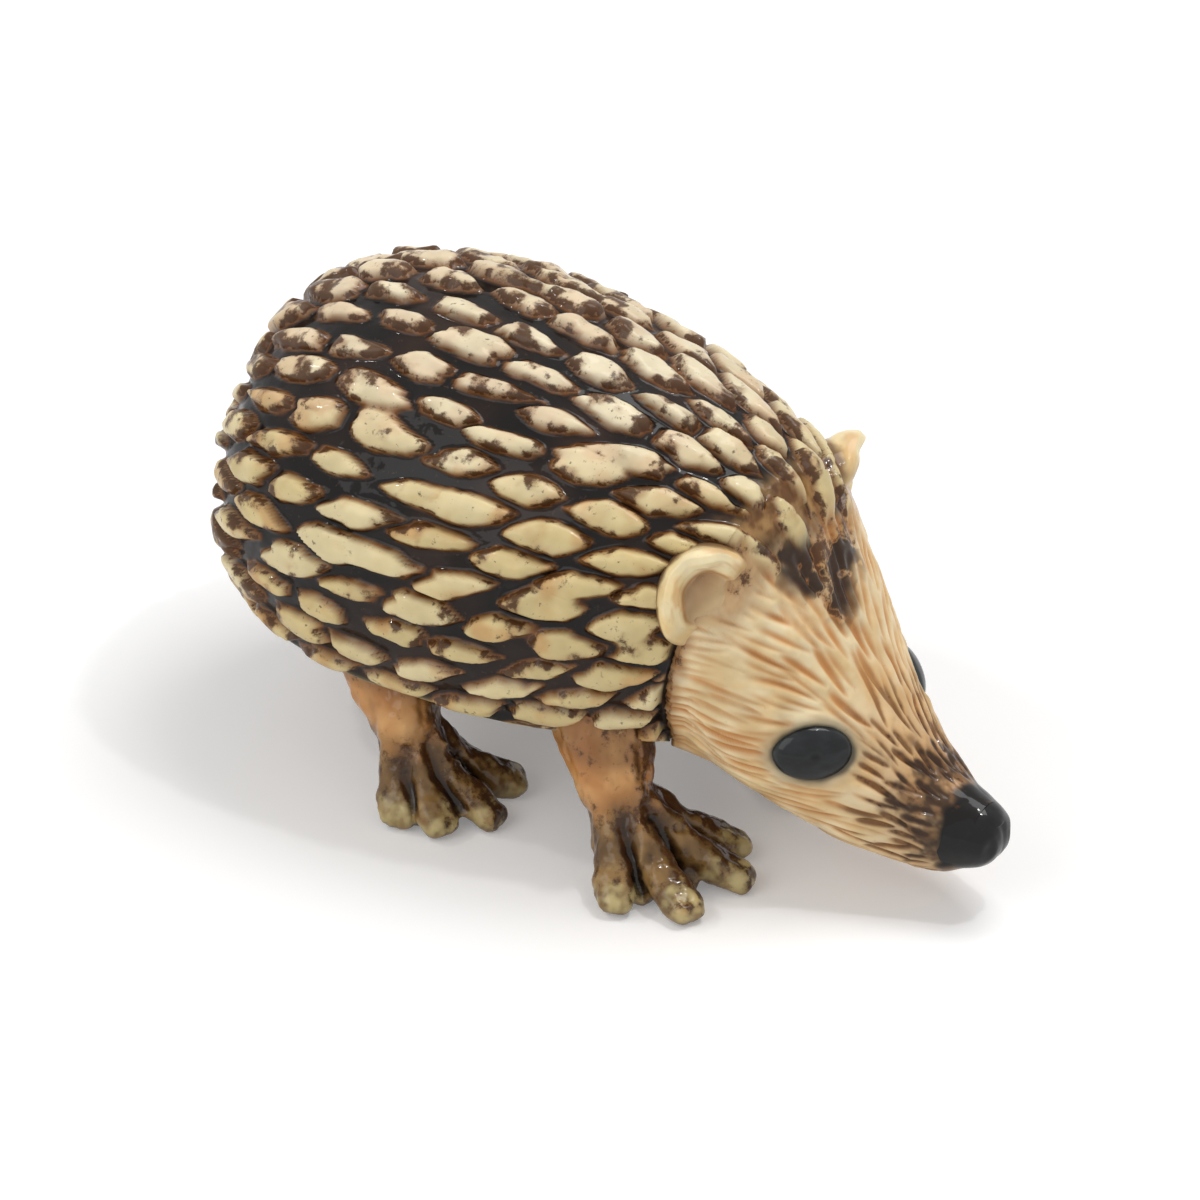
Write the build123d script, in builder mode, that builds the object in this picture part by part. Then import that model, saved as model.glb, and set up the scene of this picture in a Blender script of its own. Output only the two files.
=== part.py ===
"""Hedgehog figurine in glazed ceramic, a small shelf ornament.

Millimetres. +X is the way that the animal faces, +Y its left and +Z up. The origin is on the ground, under
the middle of the overall length. The clay pieces that are luted together before firing are separate solids:
a hollow body, a thick coat with its quill pads, a head with ears, eyes and nose, and four legs.
"""
from build123d import *
import math
import os

# Body and coat: a round egg lying along X
rump_x = -17.8
coat_front_x = 8.9
axis_height = 10.95
coat_radius = 9.15
coat_thickness = 1.3
body_wall = 1.7
skirt_height = 5.5
vent_diameter = 1.6
vent_x = -4.1

# The face where coat and head meet leans forward, in degrees
neck_x = 4.9
neck_lean = 11.0

# Quill pads: leaf shapes lying along the coat in staggered rings, sunk in it, with their front ends down
quill_length = 4.1
quill_width = 1.6
quill_proud = 0.42
quill_slant = 6.0
quills_around = 18
ring_pitch = 1.6
first_ring_back = 2.4
full_quill_radius = 7.3
crowded_ring_radius = 5.2

# Head: a wedge that droops from neck to nose
head_back_x = 3.8
head_length = 14.0
neck_half_width = 6.5
neck_half_height = 6.9
neck_middle_height = 10.7
nose_height = 3.6

# Nose and eyes
nose_radius = 1.5
eye_length = 3.25
eye_height = 2.45
eye_depth = 1.1
eye_x = 10.85
eye_side = 3.5
eye_z = 7.15
eye_forward_turn = 41.0
eye_upward_turn = 15.0

# Ears: a lobe with a bowl in its face and a small point
ear_width = 3.6
ear_height = 3.8
ear_depth = 2.6
ear_x = 6.6
ear_side = 4.9
ear_z = 13.8
ear_forward_turn = 38.0
ear_upward_turn = 12.0
ear_bowl_radius = 2.2
ear_bowl_depth = 0.8
ear_point_height = 2.5
ear_point_root_radius = 1.0
ear_point_tip_radius = 0.25
ear_point_outward = 0.9

# Legs and toes
front_leg_top_x = 1.6
front_leg_top_side = 4.7
front_ankle_x = 3.4
front_ankle_side = 5.8
rear_leg_top_x = -8.5
rear_leg_top_side = 5.1
rear_ankle_x = -6.2
rear_ankle_side = 6.4
ankle_height = 2.9
leg_top_radius = 2.1
ankle_radius = 1.5
toe_root_height = 2.0
toe_root_radius = 1.2
toe_tip_radius = 0.72
sole_press = 0.12
palm_ahead = 1.2
palm_length = 5.0
palm_width = 4.6
palm_height = 1.9
front_toe_reach = 4.2
rear_toe_reach = 3.2

# Outlines, as shares of the sizes above
coat_profile_shares = [
    (0.016, 0.300), (0.055, 0.570), (0.130, 0.805), (0.250, 0.960), (0.415, 1.010),
    (0.585, 0.970), (0.735, 0.870), (0.850, 0.745), (1.000, 0.510),
]
# Each head section: place along the head, droop of its middle, half width, half height
head_section_shares = [
    (0.000, 0.000, 1.000, 1.000), (0.190, 0.092, 0.940, 0.920), (0.370, 0.366, 0.785, 0.797),
    (0.550, 0.704, 0.590, 0.565), (0.720, 0.925, 0.420, 0.375), (0.840, 1.010, 0.300, 0.280),
    (0.920, 1.003, 0.212, 0.200),
]
# Each toe: its direction, in degrees outward from straight ahead, and its share of the reach
front_toe_fan_shares = [(56.0, 0.80), (20.0, 1.12), (-17.0, 1.25), (-44.0, 1.22)]
rear_toe_fan_shares = [(62.0, 0.70), (27.0, 1.00), (-2.0, 1.28), (-38.0, 1.40)]

right, left = -1, 1
skirt_plane = Plane.XY.offset(skirt_height)
neck_plane = Plane(origin=(neck_x, 0, skirt_height), z_dir=Vector(1, 0, 0).rotate(Axis.Y, neck_lean))
body_axis = Axis((0, 0, axis_height), (1, 0, 0))


def egg_outline(inset):
    """Points of the egg's outline under its axis, drawn in by inset, as x and height over the ground."""
    rear_x = rump_x + inset
    length = coat_front_x - rear_x
    radius = coat_radius - inset
    points = [(rear_x, axis_height)]
    for along_share, radius_share in coat_profile_shares:
        points.append((rear_x + along_share * length, axis_height - radius_share * radius))
    return points


def end_tangents(points):
    """The outline leaves the rump square to the axis, and ends in line with its last two points."""
    (last_x, last_z), (front_x, front_z) = points[-2:]
    return [(0, -1), (front_x - last_x, front_z - last_z)]


def egg_form(inset):
    """The egg as one solid, inside the coat's surface by inset."""
    points = egg_outline(inset)
    front_x, front_z = points[-1]
    with BuildPart() as form:
        with BuildSketch(Plane.XZ):
            with BuildLine():
                Spline(*points, tangents=end_tangents(points))
                Line((front_x, front_z), (front_x, axis_height))
                Line((front_x, axis_height), points[0])
            make_face()
        revolve(axis=body_axis)
    return form.part


def tapered_limb(start, end, start_radius, end_radius):
    """A round limb from start to end, with a dome at its end."""
    start, end = Vector(*start), Vector(*end)
    along = end - start
    across = Plane(origin=start, z_dir=along).x_dir
    with BuildPart() as limb:
        with BuildSketch(Plane(origin=start, x_dir=along, z_dir=across)):
            with BuildLine():
                Line((0, 0), (0, start_radius))
                Line((0, start_radius), (along.length, end_radius))
                RadiusArc((along.length, end_radius), (along.length + end_radius, 0), end_radius)
                Line((along.length + end_radius, 0), (0, 0))
            make_face()
        revolve(axis=Axis(start, along))
    return limb.part


def facing_plane(x, side_distance, z, side, forward_turn, upward_turn):
    """Plane on the animal's side that faces outward, turned forward and up by the two angles."""
    forward, upward = math.radians(forward_turn), math.radians(upward_turn)
    outward = Vector(
        math.sin(forward) * math.cos(upward),
        side * math.cos(forward) * math.cos(upward),
        math.sin(upward),
    )
    ahead = Vector(math.cos(forward), -side * math.sin(forward), 0)
    return Plane(origin=(x, side * side_distance, z), x_dir=ahead, z_dir=outward)


def oval_bead(plane, length, height, depth):
    """An ellipsoid whose length and height lie in the plane."""
    with BuildPart(Plane.XY) as bead:
        Sphere(height / 2)
        scale(by=(length / height, 1, depth / height))
    return plane * bead.part


def body_cavity():
    """The hollow of the cast body, closed off from the neck by a wall."""
    with BuildPart() as cavity:
        add(egg_form(coat_thickness + body_wall))
        split(bisect_by=neck_plane.offset(-body_wall), keep=Keep.BOTTOM)
    return cavity.part


def head_form():
    """The whole head before it is fitted to the neck: oval sections lofted from neck to snout."""
    with BuildPart() as form:
        for along_share, droop_share, width_share, height_share in head_section_shares:
            section_x = head_back_x + along_share * head_length
            middle_height = neck_middle_height - droop_share * (neck_middle_height - nose_height)
            with BuildSketch(Plane(origin=(section_x, 0, middle_height), x_dir=(0, 1, 0), z_dir=(1, 0, 0))):
                Ellipse(width_share * neck_half_width, height_share * neck_half_height)
        loft()
    return form.part


def ear_form(side):
    """An ear before it is fitted: a lobe with a bowl in its face and a point at its top."""
    plane = facing_plane(ear_x, ear_side, ear_z, side, ear_forward_turn, ear_upward_turn)
    bowl_centre = plane.from_local_coords((0, 0, ear_depth / 2 + ear_bowl_radius - ear_bowl_depth))
    point_root = plane.from_local_coords((0, ear_height / 4, 0))
    point_tip = Vector(ear_x, side * (ear_side + ear_point_outward), ear_z + ear_point_height)
    with BuildPart() as form:
        add(oval_bead(plane, ear_width, ear_height, ear_depth))
        add(tapered_limb(point_root, point_tip, ear_point_root_radius, ear_point_tip_radius))
        with Locations(bowl_centre):
            Sphere(ear_bowl_radius, mode=Mode.SUBTRACT)
    return form.part


def eye_form(side):
    """An oval bead that sits in the side of the head."""
    plane = facing_plane(eye_x, eye_side, eye_z, side, eye_forward_turn, eye_upward_turn)
    return oval_bead(plane, eye_length, eye_height, eye_depth)


def quill_form(length, width):
    """One quill pad at the origin: a spindle that lies along X and points at both ends."""
    half_length = length / 2
    with BuildPart() as form:
        with BuildSketch(Plane.XY):
            with BuildLine():
                Spline((-half_length, 0), (0, width / 2), (half_length, 0))
                Line((half_length, 0), (-half_length, 0))
            make_face()
        revolve(axis=Axis.X)
    return form.part


def ring_planes(ring_x, ring_radius, growth, places, stagger, depth):
    """Planes of one ring of quills, whose middles lie at depth under the coat's surface.

    Growth is how fast the coat's radius grows along X there.
    """
    slope_length = math.hypot(1, growth)
    planes = []
    for place in range(places):
        angle = 2 * math.pi * (place + stagger) / places
        side_share, up_share = math.sin(angle), math.cos(angle)
        if axis_height + up_share * ring_radius < skirt_height:
            continue
        outward = Vector(-growth, side_share, up_share) / slope_length
        forward = Vector(1, side_share * growth, up_share * growth) / slope_length
        around = Vector(0, up_share, -side_share)
        slant = math.radians(quill_slant * side_share)
        lengthwise = forward * math.cos(slant) + around * math.sin(slant)
        on_coat = Vector(ring_x, side_share * ring_radius, axis_height + up_share * ring_radius)
        planes.append(Plane(origin=on_coat - outward * depth, x_dir=lengthwise, z_dir=outward))
    return planes


def quill_rings():
    """The rings from neck to rump, each as the length and width of its quills and their planes.

    The last ring closes the rump. It has half as many quills and lies behind the others by a whole quill.
    """
    with BuildLine(Plane.XZ) as outline:
        Spline(*egg_outline(0), tangents=end_tangents(egg_outline(0)))
    coat_edge = outline.edge()
    rings = []
    ring_place = coat_edge.length - first_ring_back
    places = quills_around
    while places == quills_around:
        middle = coat_edge.position_at(ring_place, position_mode=PositionMode.LENGTH)
        if axis_height - middle.Z < crowded_ring_radius:
            places = quills_around // 2
            ring_place -= ring_pitch
            middle = coat_edge.position_at(ring_place, position_mode=PositionMode.LENGTH)
        along = coat_edge.tangent_at(ring_place, position_mode=PositionMode.LENGTH)
        ring_radius = axis_height - middle.Z
        size_share = min(1, ring_radius * quills_around / places / full_quill_radius)
        depth = size_share * (quill_width / 2 - quill_proud)
        stagger = len(rings) % 2 / 2
        planes = ring_planes(middle.X, ring_radius, -along.Z / along.X, places, stagger, depth)
        rings.append((size_share * quill_length, size_share * quill_width, planes))
        ring_place -= ring_pitch
    return rings


def leg_part(top, ankle, toe_fan_shares, toe_reach):
    """A right leg: a column from under the skirt to the ankle, a palm, and toes that fan out on the ground.

    The toes are pressed into the ground plane a little, so that each has a flat sole.
    """
    toe_root = Vector(ankle.X, ankle.Y, toe_root_height)
    palm_plane = Plane(origin=(ankle.X + palm_ahead, ankle.Y, 0))
    with BuildPart() as leg:
        add(tapered_limb(top, ankle, leg_top_radius, ankle_radius))
        add(oval_bead(palm_plane, palm_length, palm_width, palm_height * 2))
        for fan_angle, reach_share in toe_fan_shares:
            reach = toe_reach * reach_share
            direction = math.radians(fan_angle)
            toe_tip = Vector(
                ankle.X + reach * math.cos(direction),
                ankle.Y - reach * math.sin(direction),
                toe_tip_radius - sole_press,
            )
            add(tapered_limb(toe_root, toe_tip, toe_root_radius, toe_tip_radius))
        split(bisect_by=Plane.XY, keep=Keep.TOP)
        split(bisect_by=skirt_plane, keep=Keep.BOTTOM)
        add(body_form, mode=Mode.SUBTRACT)
    return leg.part


os.makedirs("parts", exist_ok=True)

coat_form = egg_form(0)
body_form = egg_form(coat_thickness)


# Body: the hollow egg under the coat, with a vent hole through the belly
with BuildPart() as body:
    add(body_form)
    split(bisect_by=neck_plane, keep=Keep.BOTTOM)
    add(body_cavity(), mode=Mode.SUBTRACT)
    with Locations((vent_x, 0, 0)):
        Cylinder(
            vent_diameter / 2,
            axis_height,
            align=(Align.CENTER, Align.CENTER, Align.MIN),
            mode=Mode.SUBTRACT,
        )
body.part.label = "body"
export_step(body.part, "parts/body.step")


# Coat: the jacket over the back and flanks with its quills, open below its skirt
with BuildPart() as coat:
    add(coat_form)
    for length, width, planes in quill_rings():
        with Locations(*planes):
            add(quill_form(length, width))
    add(body_form, mode=Mode.SUBTRACT)
    split(bisect_by=skirt_plane, keep=Keep.TOP)
    split(bisect_by=neck_plane, keep=Keep.BOTTOM)
coat.part.label = "coat"
export_step(coat.part, "parts/coat.step")


# Head: fitted to the neck, with seats for the eyes and the nose
with BuildPart() as nose:
    with Locations((head_back_x + head_length - nose_radius, 0, nose_height)):
        Sphere(nose_radius)
nose.part.label = "nose"
export_step(nose.part, "parts/nose.step")

with BuildPart() as head:
    add(head_form())
    split(bisect_by=neck_plane, keep=Keep.TOP)
    add(nose.part, mode=Mode.SUBTRACT)
    for side in (right, left):
        add(eye_form(side), mode=Mode.SUBTRACT)
head.part.label = "head"
export_step(head.part, "parts/head.step")


# Eyes, and ears fitted round the head and the coat
for side, side_name in ((right, "right"), (left, "left")):
    with BuildPart() as eye:
        add(eye_form(side))
    eye.part.label = "eye_" + side_name
    export_step(eye.part, "parts/" + eye.part.label + ".step")

    with BuildPart() as ear:
        add(ear_form(side))
        for neighbour in (head, coat, body):
            add(neighbour.part, mode=Mode.SUBTRACT)
    ear.part.label = "ear_" + side_name
    export_step(ear.part, "parts/" + ear.part.label + ".step")


# Legs: the right pair, and their mirror images
front_leg_top = Vector(front_leg_top_x, right * front_leg_top_side, skirt_height)
front_ankle = Vector(front_ankle_x, right * front_ankle_side, ankle_height)
rear_leg_top = Vector(rear_leg_top_x, right * rear_leg_top_side, skirt_height)
rear_ankle = Vector(rear_ankle_x, right * rear_ankle_side, ankle_height)

with BuildPart() as front_right_leg:
    add(leg_part(front_leg_top, front_ankle, front_toe_fan_shares, front_toe_reach))
front_right_leg.part.label = "front_right_leg"
export_step(front_right_leg.part, "parts/front_right_leg.step")

with BuildPart() as rear_right_leg:
    add(leg_part(rear_leg_top, rear_ankle, rear_toe_fan_shares, rear_toe_reach))
rear_right_leg.part.label = "rear_right_leg"
export_step(rear_right_leg.part, "parts/rear_right_leg.step")

with BuildPart() as front_left_leg:
    add(mirror(front_right_leg.part, about=Plane.XZ, mode=Mode.PRIVATE))
front_left_leg.part.label = "front_left_leg"
export_step(front_left_leg.part, "parts/front_left_leg.step")

with BuildPart() as rear_left_leg:
    add(mirror(rear_right_leg.part, about=Plane.XZ, mode=Mode.PRIVATE))
rear_left_leg.part.label = "rear_left_leg"
export_step(rear_left_leg.part, "parts/rear_left_leg.step")
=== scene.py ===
"""Glazed ceramic hedgehog figurine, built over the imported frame.

The forms are worked out in millimetres in the row frame and become metres when their mesh is made.
+X is the way that the animal faces, +Y its left and +Z up. Shares run from 0 to 1. A noise is given
the size of its lumps and then its seed.
"""
from itertools import product
from math import cos, pi, radians, sin

import bmesh
import bpy
import numpy as np
from mathutils import Matrix, Vector
from mathutils.bvhtree import BVHTree


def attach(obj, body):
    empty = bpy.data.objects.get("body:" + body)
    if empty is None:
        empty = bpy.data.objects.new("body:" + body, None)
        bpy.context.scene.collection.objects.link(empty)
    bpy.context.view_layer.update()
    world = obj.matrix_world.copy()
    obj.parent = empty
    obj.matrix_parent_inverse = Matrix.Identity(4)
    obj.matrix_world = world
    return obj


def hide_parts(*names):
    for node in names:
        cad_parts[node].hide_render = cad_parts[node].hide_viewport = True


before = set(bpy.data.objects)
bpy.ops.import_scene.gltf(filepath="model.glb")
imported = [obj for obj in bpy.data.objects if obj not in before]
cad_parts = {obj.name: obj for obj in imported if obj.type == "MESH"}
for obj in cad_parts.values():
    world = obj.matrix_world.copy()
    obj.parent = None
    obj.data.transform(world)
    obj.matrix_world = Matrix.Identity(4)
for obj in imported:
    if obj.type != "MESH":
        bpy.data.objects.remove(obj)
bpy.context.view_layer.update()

MM = 0.001

# Sizes shared with the solid model, in millimetres
RUMP_X, COAT_FRONT_X, AXIS_HEIGHT, COAT_RADIUS = -17.8, 8.9, 10.95, 9.15
COAT_THICKNESS, SKIRT_HEIGHT = 1.3, 5.5
NECK_X, NECK_LEAN = 4.9, radians(11.0)
HEAD_BACK_X, HEAD_LENGTH = 3.8, 14.0
NECK_HALF_WIDTH, NECK_HALF_HEIGHT, NECK_MIDDLE_HEIGHT, NOSE_HEIGHT = 6.5, 6.9, 10.7, 3.6
FIRST_RING_BACK, RING_PITCH = 2.4, 1.6
# The coat's outline from rump to front, as shares of its length and of its radius
COAT_PROFILE = [
    (0.000, 0.000), (0.016, 0.300), (0.055, 0.570), (0.130, 0.805), (0.250, 0.960), (0.415, 1.010),
    (0.585, 0.970), (0.735, 0.870), (0.850, 0.745), (1.000, 0.510),
]
# Place along the head, drop of its middle, half width and half height, as shares
HEAD_SECTIONS = np.array([
    (0.000, 0.000, 1.000, 1.000), (0.190, 0.092, 0.940, 0.920), (0.370, 0.366, 0.785, 0.797),
    (0.550, 0.704, 0.590, 0.565), (0.720, 0.925, 0.420, 0.375), (0.840, 1.010, 0.300, 0.280),
    (0.920, 1.003, 0.212, 0.200), (1.000, 0.960, 0.120, 0.120),
])

# The scene's own forms: rows and columns of their meshes, and lengths in millimetres
COAT_GRID, HEAD_GRID, NOSE_GRID, EAR_GRID, EYE_GRID = (236, 396), (236, 410), (110, 120), (72, 132), (48, 72)
INNER_STEP = 12  # rows and columns of the coat's outer side to one of its inner side
MOST_LIFT = 0.41  # how far a pad may stand out of the egg
TOP_LOW, TOP_HIGH = 15.0, 19.0  # heights between which the pads take on the top's look: rougher relief, browner glaze and a painted whitish sheen
RING_SIZES = ((5.4, 18), (3.4, 12), (1.9, 7), (0, 4))  # least radius of a ring, and its pads
FULL_RING, FULL_RING_RADIUS = 18, 7.3  # pads and radius of a ring whose pads have their full size
TOP_MERGES, FLANK_MERGES = 0.4, 0.07  # how often a pad runs into its neighbour
FUR_TRIES = 7000
EYE_SIZES = (1.6, 1.14, 0.66)
EAR_RADIUS, EAR_FLOOR, EAR_REACH = 1.78, 0.08, 6  # rim, height of the hollow, and start of the rays above it
BALL_STEP, TOE_STEP, LEG_VOXEL = 0.25, 0.15, 0.1


def linear(*colour):
    """Red, green and blue from 0 to 255, as they look in plain light, as linear light."""
    share = np.array(colour, float) / 255
    return np.where(share <= 0.04045, share / 12.92, ((share + 0.055) / 1.055) ** 2.4)


# Glaze colours, each near the piece that it is for
# The palest cream is a painted whitish sheen for the coat's top
CREAM, PALE_CREAM, TOP_SHEEN_CREAM = linear(214, 193, 140), linear(227, 210, 165), linear(234, 224, 202)
TAN, ORANGE_BROWN, BROWN = linear(200, 150, 92), linear(140, 88, 44), linear(84, 52, 28)
# The last is the tint of the iron stains, which on the legs also lays painted shade
DARK_BROWN, GROOVE, STAIN_AND_SHADE_TINT = linear(44, 28, 20), linear(17, 12, 10), linear(74, 44, 22)
SAND, DARK_SAND = linear(188, 146, 92), linear(118, 78, 42)
FUR, PALE_FUR, FUR_LINE = linear(230, 200, 148), linear(243, 224, 182), linear(206, 148, 88)
FUR_DEEP, FUR_ORANGE = linear(176, 112, 60), linear(212, 156, 96)
BAND, BAND_DARK, NECK_EDGE = linear(150, 96, 46), linear(38, 22, 14), linear(150, 96, 52)
SNOUT, SNOUT_STREAK = linear(176, 128, 82), linear(104, 68, 38)
EYE_SHADE, EYE_SEAT, EAR_SHADE = linear(150, 134, 108), linear(66, 66, 60), linear(196, 158, 116)
BEAD, BEAD_STREAK = linear(24, 25, 27), linear(38, 40, 42)
BEAD_RIM, PUPIL = linear(58, 62, 62), linear(8, 8, 9)
NOSE, NOSE_SHEEN = linear(12, 11, 11), linear(30, 26, 25)
EAR, PALE_EAR, EAR_STREAK = linear(236, 208, 150), linear(246, 228, 184), linear(214, 158, 96)
# colours of the ear's hollow: painted shade under the rim
EAR_HOLLOW, EAR_HOLLOW_SHADE = linear(228, 200, 152), linear(172, 134, 96)
EAR_CREASE, EAR_BACK = linear(176, 120, 70), linear(96, 60, 36)
# Leg colours: painted shadow under the skirt, painted shade on the inner front side, pooled dark glaze with
# painted shade in hollows and creases, and a painted highlight on the ridges
SHIN, PALE_SHIN, SKIRT_SHADOW = linear(192, 132, 74), linear(220, 168, 108), linear(110, 70, 40)
FOOT, PALE_FOOT, LEG_SIDE_SHADE = linear(104, 76, 42), linear(152, 118, 70), linear(70, 46, 26)
HOLLOW_GLAZE_AND_SHADE, CREASE_GLAZE_AND_SHADE = linear(56, 36, 20), linear(24, 16, 12)
RIDGE_HIGHLIGHT, TOE_TIP = linear(214, 178, 120), linear(212, 194, 138)
BELLY, BELLY_CLOUD = linear(60, 42, 28), linear(150, 106, 62)


def mix(a, b, share):
    """Blends colours or fields a and b, with one share for each point."""
    share = share[:, None] if np.shape(a)[-1] == 3 else share
    return a * (1 - share) + b * share


def glazed(colour, *layers):
    """The colour under layers of glaze, each a colour and its share."""
    for tint, share in layers:
        colour = mix(colour, tint, share)
    return colour


def ramp(value, low, high):
    """A smooth step from 0 at low to 1 at high."""
    t = np.clip((value - low) / (high - low), 0, 1)
    return t * t * (3 - 2 * t)


def bell(gap, width):
    """1 where gap is 0, and falling away over about that width."""
    return np.exp(-((gap / width) ** 2))


def wrapped(angle):
    """The same angle, from -pi to pi."""
    return (angle + pi) % (2 * pi) - pi


def unit(vectors):
    """The same directions with length 1."""
    return vectors / np.maximum(np.linalg.norm(vectors, axis=-1, keepdims=True), 1e-9)


def lattice(corner, seed):
    """A repeatable number from -1 to 1 for each whole-number corner."""
    n = corner[:, 0] * 73856093 ^ corner[:, 1] * 19349663 ^ corner[:, 2] * 83492791 ^ seed * 265443576
    n = ((n ^ (n >> 13)) * 1274126177) & 0xFFFFFFFF
    n = ((n ^ (n >> 15)) * 668265263) & 0xFFFFFFFF
    return ((n ^ (n >> 16)) & 0xFFFF) / 32767.5 - 1


def noise(points, size, seed):
    """Smooth noise from -1 to 1 with lumps of about that size in millimetres."""
    scaled = points / size
    base = np.floor(scaled).astype(np.int64)
    part = scaled - base
    x, y, z = (part * part * (3 - 2 * part)).T
    total = np.zeros(len(points))
    for dx, dy, dz in product((0, 1), repeat=3):
        weight = (x if dx else 1 - x) * (y if dy else 1 - y) * (z if dz else 1 - z)
        total += weight * lattice(base + np.array((dx, dy, dz)), seed)
    return total


def rough(points, size, seed):
    """Three layers of noise, each half as large as the last."""
    return sum(noise(points, size / 2**k, seed + k) / 2**k for k in range(3)) / 1.4


def running(steps):
    """The steps' totals so far, from 0."""
    return np.concatenate([[0], np.cumsum(steps)])


def ring_angles(count):
    """Angles in even steps once round."""
    return np.linspace(0, 2 * pi, count, endpoint=False)


def resampled(places, along, points):
    """Points at those places on the line through points, which lie at along."""
    return np.stack([np.interp(places, along, line) for line in points.T], -1)


def hermite(t, gap, values, slopes, index):
    """The cubic from each index to the next, at shares t of the gap between them."""
    return (
        (2 * t**3 - 3 * t**2 + 1) * values[index]
        + (t**3 - 2 * t**2 + t) * gap * slopes[index]
        + (3 * t**2 - 2 * t**3) * values[index + 1]
        + (t**3 - t**2) * gap * slopes[index + 1]
    )


def smooth_curve(points, start, end, count):
    """A curve through 2-D points with those end directions, as count even points, and its length."""
    points = np.array(points, float)
    chord = np.hypot(*np.diff(points, axis=0).T)
    knots = running(chord)
    size = len(points)
    system, right_side = np.zeros((size, size)), np.zeros((size, 2))
    system[0, 0] = system[-1, -1] = 1
    right_side[0] = np.array(start, float) / np.hypot(*start)
    right_side[-1] = np.array(end, float) / np.hypot(*end)
    for i in range(1, size - 1):
        before, after = chord[i - 1], chord[i]
        system[i, i - 1], system[i, i], system[i, i + 1] = after, 2 * (before + after), before
        right_side[i] = 3 * (
            after * (points[i] - points[i - 1]) / before + before * (points[i + 1] - points[i]) / after
        )
    slopes = np.linalg.solve(system, right_side)
    place = np.linspace(0, knots[-1], 4000)
    index = np.clip(np.searchsorted(knots, place) - 1, 0, size - 2)
    gap = chord[index][:, None]
    curve = hermite((place - knots[index])[:, None] / gap, gap, points, slopes, index)
    along = running(np.hypot(*np.diff(curve, axis=0).T))
    return resampled(np.linspace(0, along[-1], count), along, curve), along[-1]


def egg_profile(inset):
    """The egg's outline as x and radius, spaced evenly from the rump, and its length."""
    rear = RUMP_X + inset
    length, radius = COAT_FRONT_X - rear, COAT_RADIUS - inset
    points = [(rear + a * length, r * radius) for a, r in COAT_PROFILE]
    end = (points[-1][0] - points[-2][0], points[-1][1] - points[-2][1])
    return smooth_curve(points, (0, 1), end, 1200)


def neck_distance(x, z):
    """How far a place lies ahead of the face where coat and head meet."""
    return (x - NECK_X) * cos(NECK_LEAN) - (z - SKIRT_HEIGHT) * sin(NECK_LEAN)


def grid_faces(rows, columns, closed, offset=0, flip=False):
    """Faces of a grid of vertices, with four indices each."""
    i, j = np.meshgrid(np.arange(rows - 1), np.arange(columns if closed else columns - 1), indexing="ij")
    k = (j + 1) % columns
    faces = np.stack([i * columns + j, i * columns + k, (i + 1) * columns + k, (i + 1) * columns + j], -1)
    faces = faces.reshape(-1, 4) + offset
    return (faces[:, ::-1] if flip else faces).tolist()


def fan_faces(first, count, apex):
    """Faces from a ring of count vertices to one more."""
    return [[first + j, first + (j + 1) % count, apex] for j in range(count)]


def normals_of(grid):
    """Unit normals of a grid of points whose last column meets its first."""
    across = np.roll(grid, -1, 1) - np.roll(grid, 1, 1)
    return unit(np.cross(np.gradient(grid, axis=0), across))


def new_object(name, data):
    """A new object that is linked to the scene."""
    made = bpy.data.objects.new(name, data)
    bpy.context.scene.collection.objects.link(made)
    return made


def make_piece(name, vertices, faces, colours, material, node, stain_and_shade=0.0):
    """Makes one piece from millimetre vertices, paints it, and lets it stand for its node."""
    mesh = bpy.data.meshes.new(name)
    mesh.from_pydata((vertices * MM).tolist(), [], faces)
    paint = mesh.attributes.new("glaze", "FLOAT_COLOR", "POINT")
    rgba = np.ones((len(vertices), 4), np.float32)
    rgba[:, :3] = colours
    paint.data.foreach_set("color", rgba.ravel())
    layer = mesh.attributes.new("stain_and_shade", "FLOAT", "POINT")
    layer.data.foreach_set("value", np.resize(np.asarray(stain_and_shade, np.float32), len(vertices)))
    work = bmesh.new()
    work.from_mesh(mesh)
    bmesh.ops.remove_doubles(work, verts=work.verts, dist=1e-7)
    bmesh.ops.dissolve_degenerate(work, edges=work.edges, dist=1e-7)
    bmesh.ops.recalc_face_normals(work, faces=work.faces)
    work.to_mesh(mesh)
    work.free()
    mesh.shade_smooth()
    mesh.set_sharp_from_angle(angle=radians(65))
    mesh.materials.append(material)
    piece = new_object(name, mesh)
    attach(piece, "root")
    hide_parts(node)
    return piece


def feed(tree, node, inputs):
    """Sets each input to its value, or links it to its socket."""
    for name, value in dict(inputs).items():
        if isinstance(value, bpy.types.NodeSocket):
            tree.links.new(value, node.inputs[name])
        else:
            node.inputs[name].default_value = value


def add_node(tree, kind, inputs=(), **settings):
    """A new node, and the sockets that come out of it."""
    node = tree.nodes.new(kind)
    for name, value in settings.items():
        setattr(node, name, value)
    feed(tree, node, inputs)
    return node.outputs


def new_material(name):
    """A material, its node tree, its shader and the object's own coordinates."""
    material = bpy.data.materials.new(name)
    material.use_nodes = True
    tree = material.node_tree
    return material, tree, tree.nodes["Principled BSDF"], add_node(tree, "ShaderNodeTexCoord")["Object"]


def noise_texture(tree, place, size, detail, roughness=0.5):
    """Noise with lumps of about that size in millimetres."""
    inputs = {"Vector": place, "Scale": 1 / (size * MM), "Detail": detail, "Roughness": roughness}
    return add_node(tree, "ShaderNodeTexNoise", inputs)["Fac"]


def map_range(tree, value, low, high, first, last, kind="LINEAR"):
    """The value, stretched so that low becomes first and high becomes last."""
    inputs = {"Value": value, "From Min": low, "From Max": high, "To Min": first, "To Max": last}
    return add_node(tree, "ShaderNodeMapRange", inputs, interpolation_type=kind)["Result"]


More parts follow.
